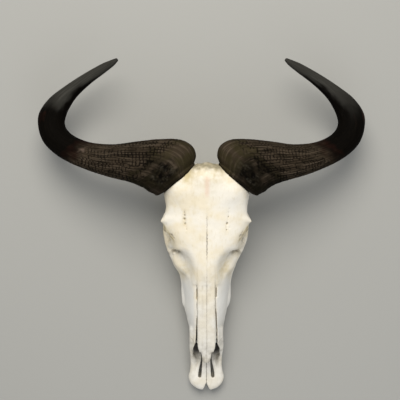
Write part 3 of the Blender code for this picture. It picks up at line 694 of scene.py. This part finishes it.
# Horn: every ring is an oval of half width across and half thickness up, set on the path. The ends
# are drawn together as flattened domes. The relief is pushed inwards so that the outline stays.
def makeHorn(side, word):
    v, own = hornValues, hornValues[word]
    share = np.linspace(0, 1, v["along"]) ** v["denser"]
    middle, across, half, thick, lean = hornPath(share * (len(v["rows"]) - 1) * 0.99999)
    step = np.linalg.norm(np.diff(middle, axis=0), axis=1)
    length = np.concatenate([[0], np.cumsum(step)])
    back = np.array([across[0, 1], -across[0, 0], 0])
    onward = (middle[-1] - middle[-2]) / step[-1]
    # Domes: the first and the last ring again, ever smaller and further out.
    rows = len(half)
    quarter = np.linspace(0, 1, 6)[1:-1] * math.pi / 2
    depth = v["capDepth"] * np.sin(np.linspace(1, 0, 26, endpoint=False)[1:] * math.pi / 2)
    again = np.clip(np.arange(-len(depth), rows + len(quarter)), 0, rows - 1)
    depth, tip = (np.concatenate([depth, np.zeros(rows + len(quarter))]),
                  np.concatenate([np.zeros(len(depth) + rows), quarter]))
    shrink = (1 - (depth / (v["capDepth"] + 0.01)) ** 3) ** (1 / 3) * np.cos(tip)
    middle = middle[again] + back * depth[:, None] + onward * (v["tipLength"] * np.sin(tip))[:, None]
    across, lean, half, thick = across[again], lean[again], half[again] * shrink, thick[again] * shrink
    length = length[again] - depth + v["tipLength"] * np.sin(tip)
    angle = np.linspace(0, 2 * math.pi, v["around"], endpoint=False)
    c, s = np.cos(angle)[None, :], np.sin(angle)[None, :]
    normal = np.stack([c / half[:, None], s / thick[:, None]], axis=-1)
    normal /= np.linalg.norm(normal, axis=-1, keepdims=True)

    # A place on the horn's skin for its patterns: along, and the two directions across, in mm.
    along = np.repeat(length[:, None], v["around"], 1)
    radius, apart = v["skinRadius"], v["skinApart"] * side
    skin = np.stack(np.broadcast_arrays(along, radius * c, radius * s), axis=-1) + (0, 0, apart)
    flat = skin.reshape(-1, 3)

    # Layered noise on the skin, stretched where a direction's scale is below 1.
    def pattern(scale, size, layers, seed):
        return layeredNoise(flat * scale, size, layers, seed).reshape(along.shape)

    # 1 on the lines where a value is whole, and 0 beyond the wide distance from them in mm.
    def lines(value, spacing, narrow, wide):
        return 1 - fade(np.abs(value - np.round(value)) * spacing, narrow, wide)

    # Zones: the smooth lip on the inner back edge, the knobbly front of the boss, the cracked middle,
    # the olive and black tints of the base, the black bend with old red beside it, the scuffed patch
    # ahead of it and the grey end, grey keratin that on the outer side of the curve is also a painted sheen.
    blackFrom, greyFrom = v["blackFrom"], v["greyFrom"]
    inner = 1 - fade(c, -0.55, 0.1)
    lip = (1 - fade(along, 14, 36)) * inner
    knobbly = span(along, 1, 8, 24, 46) * (1 - inner) * (1 - fade(c, 0.45, 0.85))
    cracked = span(along, v["crackedFrom"] - 16, v["crackedFrom"] + 16, blackFrom - 36, blackFrom)
    boss = 1 - fade(along, 60, 150)
    smooth = fade(along, blackFrom - 20, greyFrom)
    broken = pattern(1, 15, 2, 56)
    olive = (1 - fade(along, 60, 110)) * fade(broken, -0.9, 0.3)
    base = (1 - fade(along, 44, 110)) * (1 - inner) * fade(broken, -0.9, 0.1)
    black = np.maximum(fade(along + 14 * broken, blackFrom - 40, blackFrom + 16), own["blackBase"] * base)
    grey = fade(along + 12 * broken, greyFrom - own["greyEarly"], greyFrom + own["greyLate"])
    # The grey keeps off the inner side of the curve, so the outer side is lighter: painted sheen.
    grey *= fade(c + 0.3 * broken + 0.9 * fade(along, 400, 500), -0.85, -0.1)
    red = spot(along, 322, 30) * fade(c, -0.4, 0.5) * fade(pattern(1, 20, 2, 60), -0.5, 0.4)
    red += 0.7 * span(along, 186, 206, 232, 256)
    scuff = spot(along, 208, 10, c, -0.2, 0.35) * fade(s, 0, 0.4)
    scuff *= own["scuff"] * fade(pattern((0.8, 1, 1), 4.5, 3, 59), -0.8, 0.7)

    # Relief: wrinkles round the horn, lumps, pits and lengthwise grain. The cracks part it into blocks
    # like bricks: along it where the place round it, counted in rows, is whole, and across it where the
    # place away from the skull, counted in blocks and moved by another amount in each row, is whole.
    wave = 0.5 + 0.5 * np.cos(2 * math.pi * (along + 9 * pattern(1, 46, 2, 51)) / v["wrinkleSpacing"])
    patchy = fade(pattern(1, 30, 2, 52), -0.35, 0.4)
    wrinkles = v["wrinkleHeight"] * wave ** 2 * patchy * (0.30 * boss + 0.2 * cracked)
    lumps = v["lumpHeight"] * (0.5 + 0.5 * pattern(1, 26, 3, 53)) * (0.35 + 0.65 * boss) * (1 - smooth)
    grain = v["grainDepth"] * (1 - 0.75 * smooth) * (1 - lip) * pattern((0.09, 1, 1), 4.2, 2, 54)
    row = angle / (2 * math.pi) * v["blockRows"] + 0.7 * pattern((0.5, 1, 1), 14, 2, 58)
    starts = np.random.default_rng(63).uniform(0, 0.7, v["blockRows"])
    start = starts[np.floor(row).astype(int) % v["blockRows"]]
    sideways = middle[:, None, 0] + across[:, None, 0] * half[:, None] * c
    block = sideways / v["blockLength"] + start + 0.5 * pattern(1, 14, 2, 55)
    acrossCracks = lines(block, v["blockLength"], 0.5, 1.6) * fade(pattern(1, 8, 2, 61), -0.45, 0.1)
    alongCracks = lines(row, v["blockWidth"], 0.3, 1.5) * fade(pattern((0.4, 1, 1), 8, 1, 62), -0.8, -0.1)
    cracks = v["crackDepth"] * np.maximum(0.9 * acrossCracks, 0.65 * alongCracks) * cracked
    pits = v["knobHeight"] * fade(pattern((0.8, 1, 1), 7.5, 2, 57), 0.0, 0.5) * knobbly
    coarse = span(along, 0, 10, 54, 100) * (1 - 0.85 * inner)
    pits = np.maximum(pits, fade(pattern((1, 1.2, 1.2), 5.5, 2, 64), -0.05, 0.45) * coarse)
    relief = -(wrinkles * (1 - lip) + lumps + cracks + pits) + grain
    relief -= relief.max()
    relief *= span(along, length[0] - 1, length[0] + 5, length[-1] - 30, length[-1])
    rings = middle[:, None, :] + across[:, None, :] * (half[:, None] * c + relief * normal[..., 0])[..., None]
    rings[..., 2] += thick[:, None] * s + relief * normal[..., 1]
    rings[..., 0] = side * rings[..., 0] - lean[:, None]
    firstPole = rings[0].mean(0)
    firstPole[:2] += (back * (side, 1, 1))[:2] * 0.3
    mesh = ringMesh(f"hornSheath_{word}", side, firstPole, rings, rings[-1].mean(0))
    addValues(mesh, skin=withEnds(skin), groove=withEnds(wrinkles * 0.15 + cracks + pits * 0.5 - grain * 0.5),
              zones=withEnds(np.stack([np.maximum(lip, olive), black, grey], axis=-1)),
              marks=withEnds(np.stack([red, scuff, knobbly], axis=-1)))
    print("horn", word, len(mesh.polygons), "faces, length", round(float(length[-1])), "mm")
    return addPiece(f"hornSheath_{word}", mesh, f"horn_{word}")


# Tooth: the outline is a squarish superellipse with two lobes on the tongue side and three upright
# ribs on the cheek side, narrowing towards the root. The grinding face sinks between enamel ridges.
def makeTooth(side, word, name, centreX, centreY, length, width, lobes):
    v = toothValues
    a = np.linspace(0, 2 * math.pi, v["around"], endpoint=False)
    ox = np.sign(np.cos(a)) * np.abs(np.cos(a)) ** v["squareness"] * width / 2
    oy = np.sign(np.sin(a)) * np.abs(np.sin(a)) ** v["squareness"] * length / 2
    beat = 2 * math.pi * lobes * oy / length
    tongueScale = 0.80 + 0.20 * np.abs(np.cos(beat / 2 + (0 if lobes == 1 else math.pi / 2))) ** 0.8
    cheekScale = 0.90 + 0.05 * (1 + np.cos(2 * beat))
    groove = np.where(ox < 0, (1 - tongueScale) * 5, (1 - cheekScale) * 10)
    ox = ox * np.where(ox < 0, tongueScale, cheekScale)
    # Side wall from the root down to the worn edge, faintly rippled.
    levels = np.concatenate([np.linspace(v["height"], 2.0, 26), [1.2, 0.7, 0.35]])[:, None]
    swell = np.interp(levels, [0, 0.7, 2, 20, v["height"]], [0.93, 0.985, 1.0, 0.985, 0.86])
    wallX, wallY = ox * swell, oy * swell
    wallX = wallX * (1 + v["ripple"] * np.sin(levels * 2.1 + 3 * centreY) / width)
    # Grinding face from the edge to the middle.
    inward = np.linspace(0.9, 0.04, 24)[:, None]
    faceX, faceY = ox * inward, oy * inward
    rim = np.exp(-((inward - 0.88) / 0.05) ** 2)
    sunk = v["faceDepth"] - v["rimHeight"] * rim + 0 * faceX
    shade = 0.5 * (1 - rim) + 0 * faceX
    for lobe in range(lobes):
        dx, dy = faceX - 0.06 * width, faceY - (lobe - (lobes - 1) / 2) * length / lobes
        bend = np.hypot(dx + 0.30 * width, dy) - 0.34 * width
        within = 1 - fade(np.abs(dy), 0.20 * length / lobes, 0.34 * length / lobes)
        ridge = np.exp(-((np.abs(bend) - 0.075 * width) / (0.03 * width)) ** 2) * within
        well = np.exp(-(bend / (0.04 * width)) ** 2) * within
        sunk += -v["ridgeHeight"] * ridge + v["wellDepth"] * well
        shade = np.clip(shade * (1 - ridge) + 1.3 * well, 0, 2)
    x, y = np.vstack([wallX, faceX]), np.vstack([wallY, faceY])
    z = np.vstack([levels + 0 * wallX, np.maximum(sunk, 0.02)])
    middle = side * centreX, centreY
    rings = np.stack([side * (centreX + x), centreY + y, z], axis=-1)
    mesh = ringMesh(f"{name}_crown_{word}", side, (*middle, v["height"]), rings, (*middle, z[-1].mean()))
    addValues(mesh, groove=withEnds(np.vstack([groove + 0 * wallX, 0 * faceX])),
              worn=withEnds(np.vstack([0 * wallX, shade])), height=withEnds(z))
    return addPiece(f"{name}_crown_{word}", mesh, f"{name}_{word}")


sides = ((1, "left"), (-1, "right"))
hornPieces = [makeHorn(*side) for side in sides]
toothPieces = [makeTooth(*side, *tooth) for side in sides for tooth in toothMiddles()]
print("teeth", len(toothPieces))


# Red, green and blue of an sRGB hex colour, made linear.
def linear(text):
    parts = [int(text[k:k + 2], 16) / 255 for k in (1, 3, 5)]
    return [p / 12.92 if p <= 0.04045 else ((p + 0.055) / 1.055) ** 2.4 for p in parts] + [1.0]


# Gives the inputs of a node plain values or links, by their names or in their order.
def giveInputs(tree, node, inputs):
    for key, value in inputs.items() if isinstance(inputs, dict) else enumerate(inputs):
        if isinstance(value, bpy.types.NodeSocket):
            tree.links.new(value, node.inputs[key])
        else:
            node.inputs[key].default_value = value


# Adds a node with its settings and inputs, and returns one of its outputs.
def addNode(tree, kind, inputs=(), output=0, **settings):
    made = tree.nodes.new("ShaderNode" + kind)
    for key, value in settings.items():
        setattr(made, key, value)
    giveInputs(tree, made, inputs)
    return made.outputs[output]


# Lays colours of a finish over its first one. Rows: mask, where the mask starts and is full, strength
# and the colour's name.
def layColours(tree, finish, first, rows):
    colour = linear(finish[first])
    for mask, low, high, strength, name in rows:
        part = addNode(tree, "MapRange", {0: mask, 1: low, 2: high, 4: strength},
                       interpolation_type="SMOOTHSTEP")
        colour = addNode(tree, "Mix", {0: part, 6: colour, 7: linear(finish[name])}, 2, data_type="RGBA")
    return colour


# Height in mm added up from parts, each with its own size, and made a bump.
def raiseBump(tree, rows, strength):
    height = None
    for part, size in rows:
        term = addNode(tree, "Math", [part, size], operation="MULTIPLY")
        height = term if height is None else addNode(tree, "Math", [height, term], operation="ADD")
    return addNode(tree, "Bump", {"Strength": strength, "Distance": 0.001, "Height": height})


def newMaterial(name):
    made = bpy.data.materials.new(name)
    made.use_nodes = True
    return made, made.node_tree, made.node_tree.nodes["Principled BSDF"]


# Old bone, boiled clean, whitened and dried: matt and chalky, cream with ivory and tan patches,
# greyer on the steep sides, darker in the hollows, painted shade in enclosed places, in the crease, on
# the snout and at the crown, fine pores, and hairline seams between the bones.
boneFinish = {
    "ivory": "#f6f0e2", "cream": "#f1e6cd", "tan": "#c4b17a", "cool": "#ebebe8", "blush": "#ecccb4",
    "hollowTint": "#8b7f6c", "paintedShade": "#6e6b62", "dark": "#1c1712", "seam": "#5f5646", "speck": "#a89b80",
    "patchMm": 36, "mottleMm": 9, "poreMm": 1.8, "speckMm": 3.4, "streakMm": 4.5, "wanderMm": 3.5,
    "seamHalfWidthMm": 0.9, "poreDepthMm": 0.30,
    "roughLeast": 0.52, "roughMost": 0.72, "refraction": 1.54, "shine": 0.35,
}


def makeBone():
    f = boneFinish
    made, tree, shader = newMaterial("Whitened dry bone")
    place = addNode(tree, "TexCoord", output="Object")
    along = addNode(tree, "Mapping", {"Vector": place, "Scale": (1, 0.12, 1)})
    patch, mottle, streak, pores, wander = (
        addNode(tree, "TexNoise", {"Vector": at, "Scale": 1000 / f[name], "Detail": detail})
        for name, at, detail in (("patchMm", place, 3), ("mottleMm", place, 4), ("streakMm", along, 3),
                                 ("poreMm", place, 3), ("wanderMm", place, 2)))
    cells = addNode(tree, "TexVoronoi", {"Vector": place, "Scale": 1000 / f["speckMm"]})
    dent, wideDent, deep, stainAndShade, paintedShade, cool, blush = (
        addNode(tree, "Attribute", output="Fac", attribute_name=name)
        for name in ("dent", "wideDent", "deep", "stainAndShade", "paintedShade", "cool", "blush"))

    # Specks stand only where a coarser noise is high, and the stains and the painted shade are broken up
    # by the mottle.
    sparse = addNode(tree, "MapRange", [mottle, 0.52, 0.68])
    dots = addNode(tree, "MapRange", [cells, 0.22, 0.08])
    broken = addNode(tree, "MapRange", [mottle, 0.25, 0.65, 0.45])
    specks, brokenStainAndShade, brokenShade = (addNode(tree, "Math", [first, second], operation="MULTIPLY")
                              for first, second in ((sparse, dots), (stainAndShade, broken), (paintedShade, broken)))

    # Seams: thin lines where a stored distance passes zero, made to wander by a fine noise.
    aside = addNode(tree, "MapRange", [wander, 0.3, 0.7, -0.7, 0.7])
    distances, strengths = (addNode(tree, "Attribute", output="Vector", attribute_name=name)
                            for name in ("seams", "seamShow"))
    seam = None
    for axis in range(3):
        distance = addNode(tree, "SeparateXYZ", [distances], axis)
        strength = addNode(tree, "SeparateXYZ", [strengths], axis)
        moved = addNode(tree, "Math", [distance, aside], operation="ADD")
        off = addNode(tree, "Math", [moved], operation="ABSOLUTE")
        width = f["seamHalfWidthMm"]
        line = addNode(tree, "MapRange", [off, width * 1.5, width * 0.4])
        line = addNode(tree, "Math", [line, strength], operation="MULTIPLY")
        seam = line if seam is None else addNode(tree, "Math", [seam, line], operation="MAXIMUM")

    colour = layColours(tree, f, "ivory", [
        (patch, 0.36, 0.66, 1.0, "cream"),
        (streak, 0.52, 0.80, 0.22, "tan"),
        (brokenStainAndShade, 0.0, 1.0, 0.72, "tan"),
        (cool, 0.0, 1.0, 0.75, "cool"),
        (blush, 0.0, 1.0, 0.55, "blush"),
        (specks, 0.0, 1.0, 0.28, "speck"),
        # Darker where the surface is hollow.
        (wideDent, 0.9, 3.6, 0.32, "hollowTint"),
        (dent, 0.12, 0.80, 0.50, "hollowTint"),
        # Painted shade, then painted shade where the bone closes round a place.
        (brokenShade, 0.0, 1.0, 0.75, "paintedShade"),
        (deep, 0.60, 0.84, 0.95, "dark"),
        (seam, 0.0, 0.8, 0.85, "seam"),
        (seam, 0.6, 1.0, 0.60, "dark"),
    ])
    tone = addNode(tree, "MapRange", [mottle, 0.3, 0.7, f["roughLeast"], f["roughMost"]])
    bump = raiseBump(tree, [(pores, f["poreDepthMm"]), (streak, 0.35), (mottle, 0.7), (seam, -0.8),
                            (specks, -0.3)], 0.5)
    giveInputs(tree, shader, {"Base Color": colour, "Roughness": tone, "Normal": bump,
                              "IOR": f["refraction"], "Specular IOR Level": f["shine"]})
    return made


# Horn sheath, weathered keratin: almost black brown, fibrous along its length, olive and cracked at
# the thick base where it is matt, worn smooth and grey towards the tips, where the outer side carries a
# painted grey sheen, and with pale painted glints on the knobbly front of the boss.
hornFinish = {
    "brown": "#342c22", "umber": "#1f1a12", "fibre": "#51473b", "olive": "#322d1c", "red": "#26120c",
    "black": "#040302", "grey": "#32312d", "paleGrey": "#494843", "scuff": "#5f5248", "speck": "#5c574c",
    "fibreMm": 3.4, "patchMm": 24, "wearMm": 12, "fineMm": 10 / 7, "knobMm": 6.5,
    "roughBase": 0.72, "roughEnd": 0.50, "refraction": 1.55, "shine": 0.025,
}


def makeHornFinish():
    f = hornFinish
    made, tree, shader = newMaterial("Weathered keratin horn")
    skin, zones, marks = (addNode(tree, "Attribute", output="Vector", attribute_name=name)
                          for name in ("skin", "zones", "marks"))  # skin is in mm, so a scale is 1 / mm
    groove = addNode(tree, "Attribute", output="Fac", attribute_name="groove")
    olive, black, grey = (addNode(tree, "SeparateXYZ", [zones], axis) for axis in range(3))
    red, scuff, knobbly = (addNode(tree, "SeparateXYZ", [marks], axis) for axis in range(3))
    along = addNode(tree, "Mapping", {"Vector": skin, "Scale": (0.06, 1, 1)})
    fibre, patch, wear, fine = (
        addNode(tree, "TexNoise", {"Vector": at, "Scale": 1 / f[name], "Detail": detail, "Roughness": gain})
        for name, at, detail, gain in (("fibreMm", along, 4, 0.65), ("patchMm", skin, 3, 0.5),
                                       ("wearMm", skin, 6, 0.7), ("fineMm", skin, 2, 0.5)))
    knobs = addNode(tree, "TexVoronoi", {"Vector": skin, "Scale": 1 / f["knobMm"]})
    # Where the wear noise is high: on the knobbly front this places the pale painted glints.
    worn = addNode(tree, "MapRange", [wear, 0.50, 0.68])
    oliveWear, greyFibre, oldRed, pits, paintedGlints = (
        addNode(tree, "Math", [first, second], operation="MULTIPLY") for first, second in
        ((olive, wear), (grey, fibre), (red, patch), (knobbly, knobs), (knobbly, worn)))

    colour = layColours(tree, f, "brown", [
        (patch, 0.40, 0.62, 0.8, "umber"),
        (fibre, 0.46, 0.64, 0.75, "fibre"),
        (oliveWear, 0.25, 0.55, 0.70, "olive"),
        (black, 0.0, 1.0, 0.97, "black"),
        (oldRed, 0.20, 0.60, 0.55, "red"),
        (grey, 0.0, 1.0, 0.92, "grey"),
        (greyFibre, 0.44, 0.66, 0.60, "paleGrey"),
        (pits, 0.28, 0.62, 0.55, "black"),
        (scuff, 0.15, 0.80, 0.70, "scuff"),
        (wear, 0.56, 0.72, 0.35, "umber"),
        (groove, 0.15, 0.70, 0.85, "black"),
        (paintedGlints, 0.0, 1.0, 0.30, "speck"),
    ])
    tone = addNode(tree, "MapRange", {0: grey, 3: f["roughBase"], 4: f["roughEnd"]})
    bump = raiseBump(tree, [(fibre, 1.2), (fine, 0.4), (wear, 0.6), (pits, -1.5)], 0.6)
    giveInputs(tree, shader, {"Base Color": colour, "Roughness": tone, "Normal": bump,
                              "IOR": f["refraction"], "Specular IOR Level": f["shine"]})
    return made


# Cheek tooth, worn enamel over dentine: ivory and faintly glossy ribs, brown cement in the grooves
# and towards the gum line, dark wells in the grinding face.
toothFinish = {
    "ivory": "#e9dfc6", "yellow": "#cdb585", "cement": "#6b5233", "dark": "#21180f",
    "streakMm": 1.4, "roughness": 0.33, "refraction": 1.62,
}


def makeToothFinish():
    f = toothFinish
    made, tree, shader = newMaterial("Worn tooth enamel")
    place = addNode(tree, "TexCoord", output="Object")
    upright = addNode(tree, "Mapping", {"Vector": place, "Scale": (1, 1, 0.15)})
    streak = addNode(tree, "TexNoise", {"Vector": upright, "Scale": 1000 / f["streakMm"], "Detail": 3})
    height, groove, worn = (addNode(tree, "Attribute", output="Fac", attribute_name=name)
                            for name in ("height", "groove", "worn"))
    colour = layColours(tree, f, "ivory", [
        (streak, 0.35, 0.70, 1.0, "yellow"),
        (height, 8.0, 26.0, 0.6, "yellow"),
        (groove, 0.25, 1.0, 0.50, "cement"),
        (worn, 0.20, 0.60, 0.75, "cement"),
        (worn, 0.70, 1.40, 1.0, "dark"),
    ])
    giveInputs(tree, shader, {"Base Color": colour, "Roughness": f["roughness"], "IOR": f["refraction"],
                              "Normal": raiseBump(tree, [(streak, 0.4)], 0.4)})
    return made


for finish, pieces in ((makeBone, [cranium]), (makeHornFinish, hornPieces), (makeToothFinish, toothPieces)):
    made = finish()
    for piece in pieces:
        piece.data.materials.append(made)
print("finishes made")

# Floor: one plain pale sheet, matt, far larger than the view.
floorValues = {"colour": "#a6a6a2", "roughness": 0.85, "shine": 0.2, "halfSize": 6.0}


def makeFloor():
    v = floorValues
    h = v["halfSize"]
    mesh = bpy.data.meshes.new("floor")
    mesh.from_pydata([(-h, -h, 0), (h, -h, 0), (h, h, 0), (-h, h, 0)], [], [(0, 1, 2, 3)])
    floor = addObject("floor", mesh)
    made, tree, shader = newMaterial("Matt pale floor")
    giveInputs(tree, shader, {"Base Color": linear(v["colour"]), "Roughness": v["roughness"],
                              "Specular IOR Level": v["shine"]})
    mesh.materials.append(made)


makeFloor()

# Light: one broad soft lamp above the horn tips, a weak one from the muzzle's side and a pale sky.
lightValues = {
    "key": {"place": (-0.15, 1.35, 2.3), "size": 1.8, "power": 62, "colour": "#fffaf2"},
    "fill": {"place": (0.6, -1.4, 1.6), "size": 1.6, "power": 6, "colour": "#f4f7ff"},
    "sky": "#e4e6e8", "skyStrength": 0.55,
}


def makeLights():
    for name in ("key", "fill"):
        v = lightValues[name]
        lamp = bpy.data.lights.new(name, "AREA")
        lamp.shape = "DISK"
        lamp.size = v["size"]
        lamp.energy = v["power"]
        lamp.color = linear(v["colour"])[:3]
        holder = addObject(name, lamp)
        holder.location = v["place"]
        x, y, z = v["place"]
        holder.rotation_euler = (math.atan2(math.hypot(x, y), z), 0, math.atan2(y, x) + math.pi / 2)
    world = bpy.data.worlds.new("paleSky")
    world.use_nodes = True
    world.node_tree.nodes["Background"].inputs[0].default_value = linear(lightValues["sky"])
    world.node_tree.nodes["Background"].inputs[1].default_value = lightValues["skyStrength"]
    bpy.context.scene.world = world
    bpy.context.scene.view_settings.view_transform = "Standard"


makeLights()

# Camera: straight above, its image upright from muzzle to horns. One pixel shows metresPerPixel at the level.
cameraValues = {"x": -0.0029, "y": 0.0588, "height": 1.80, "level": 0.100, "metresPerPixel": 0.002055,
                "pixels": 400, "sensorMm": 36.0}


def makeCamera():
    v = cameraValues
    eye = bpy.data.cameras.new("camera")
    eye.sensor_width = v["sensorMm"]
    eye.lens = v["sensorMm"] * (v["height"] - v["level"]) / (v["pixels"] * v["metresPerPixel"])
    eye.clip_end = 20.0
    holder = addObject("camera", eye)
    holder.location = (v["x"], v["y"], v["height"])
    bpy.context.scene.camera = holder


makeCamera()

print("scene ready")
